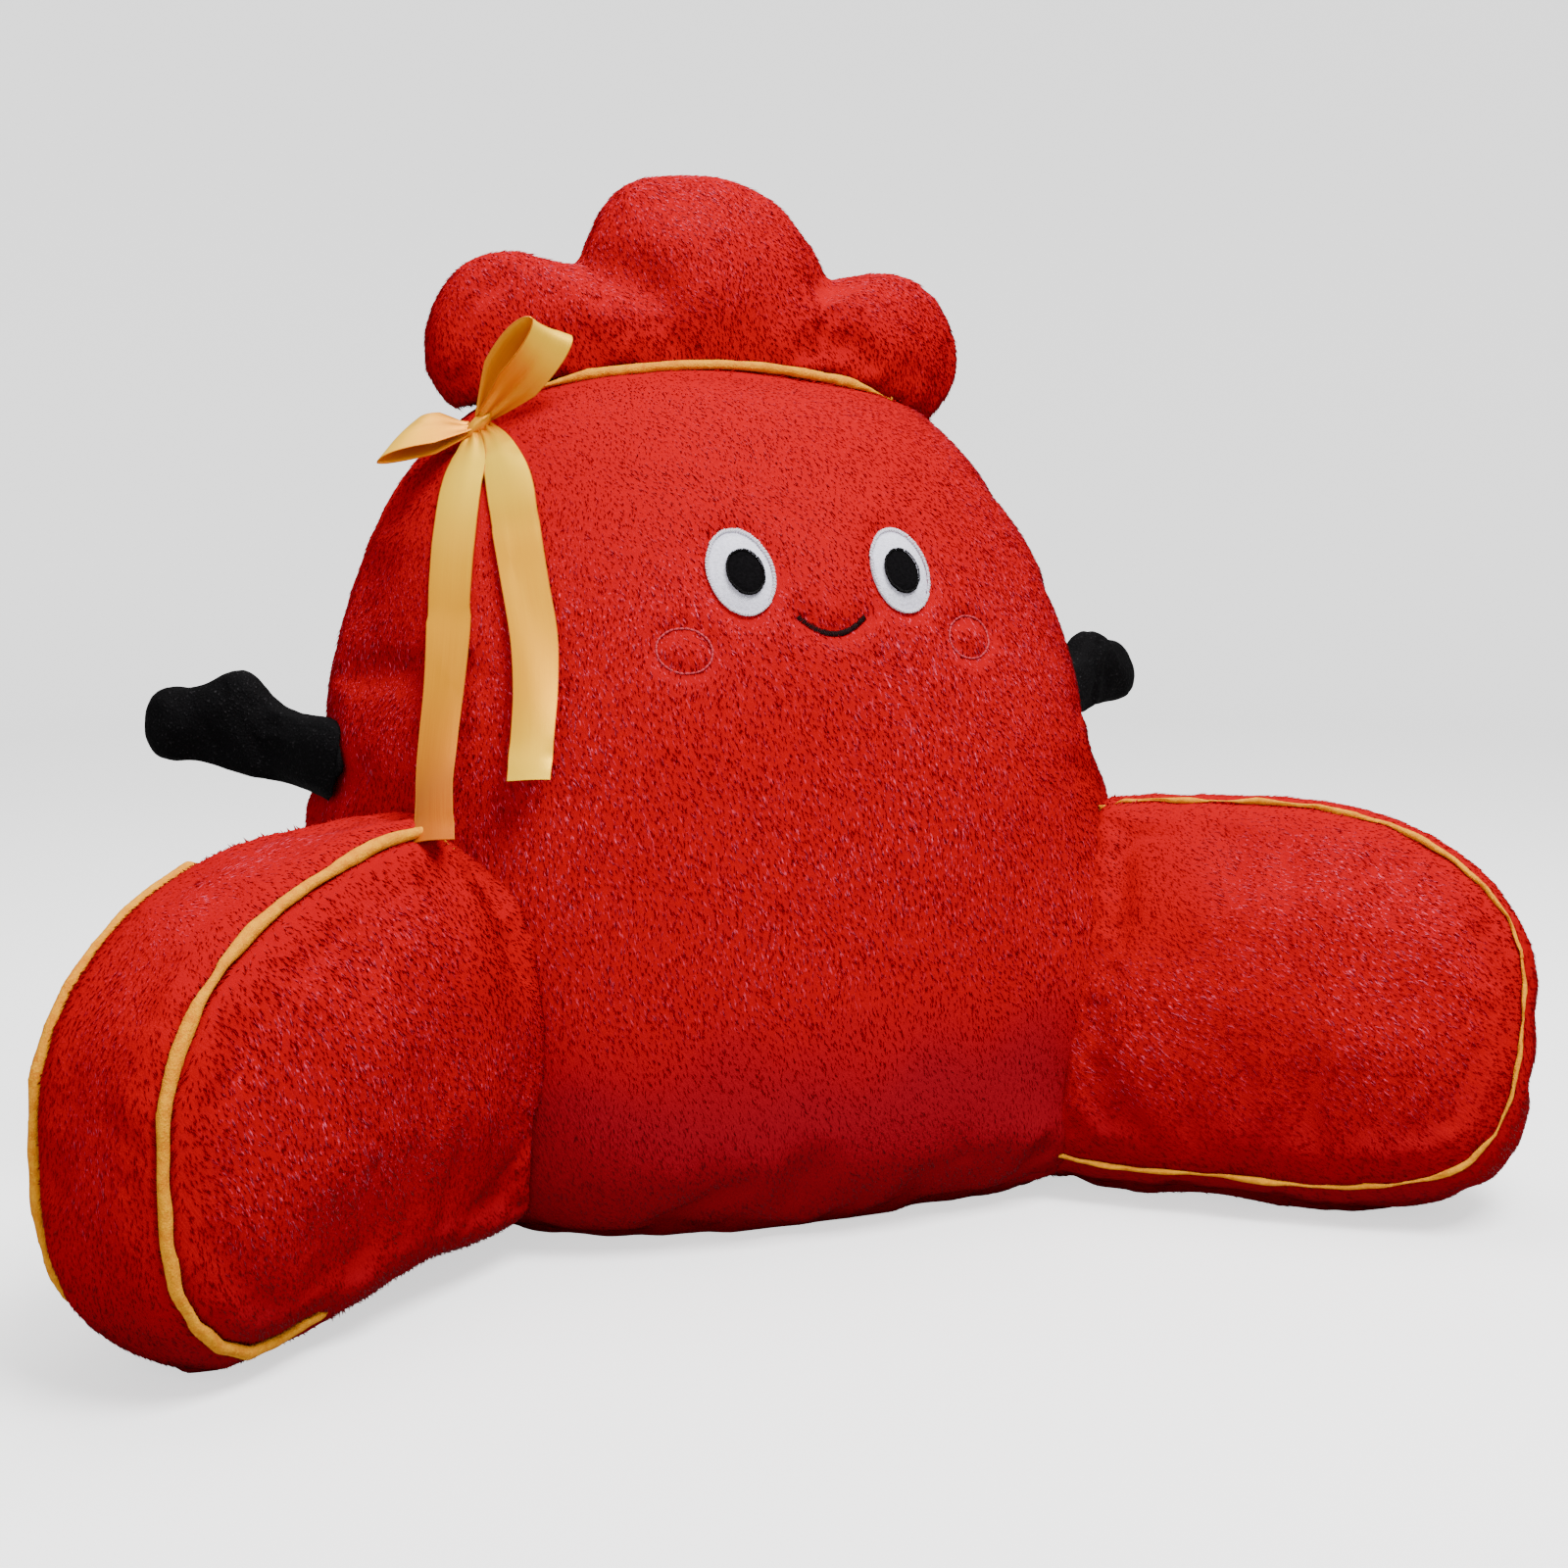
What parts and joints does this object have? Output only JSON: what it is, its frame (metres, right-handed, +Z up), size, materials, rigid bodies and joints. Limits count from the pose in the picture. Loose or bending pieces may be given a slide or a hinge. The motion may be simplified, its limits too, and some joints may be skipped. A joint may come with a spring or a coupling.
{
  "type": "reading pillow with arms",
  "caption": "Stuffed plush backrest that stands on its flat foot, with splayed bolster arms, corded seams, a lobed crest, a satin bow and stub mitts.",
  "frame": {"origin": "on the floor, below the middle of the bounding box", "axes": "+X runs across the pillow from its left arm to its right arm as seen from the front, +Y points to its back, +Z is up"},
  "size_m": [0.6731, 0.3568, 0.485],
  "materials": {
    "red_plush": "short pile",
    "yellow_velour": "velour",
    "gold_satin": "satin",
    "black_velour": "velour",
    "white_felt": "felt",
    "black_felt": "felt"
  },
  "bodies": {
    "root": {"backrest": "red_plush", "arm_left": "red_plush", "arm_right": "red_plush", "arm_left_cord_inner": "yellow_velour", "arm_left_cord_outer": "yellow_velour", "arm_right_cord_inner": "yellow_velour", "arm_right_cord_outer": "yellow_velour", "crest": "red_plush", "crest_band": "yellow_velour", "mitt_left": "black_velour", "mitt_right": "black_velour", "bow_knot": "gold_satin", "bow_loop_left": "gold_satin", "bow_loop_right": "gold_satin", "bow_tail_left": "gold_satin", "bow_tail_right": "gold_satin", "eye_left": "white_felt", "eye_right": "white_felt", "pupil_left": "black_felt", "pupil_right": "black_felt"}
  },
  "joints": []
}
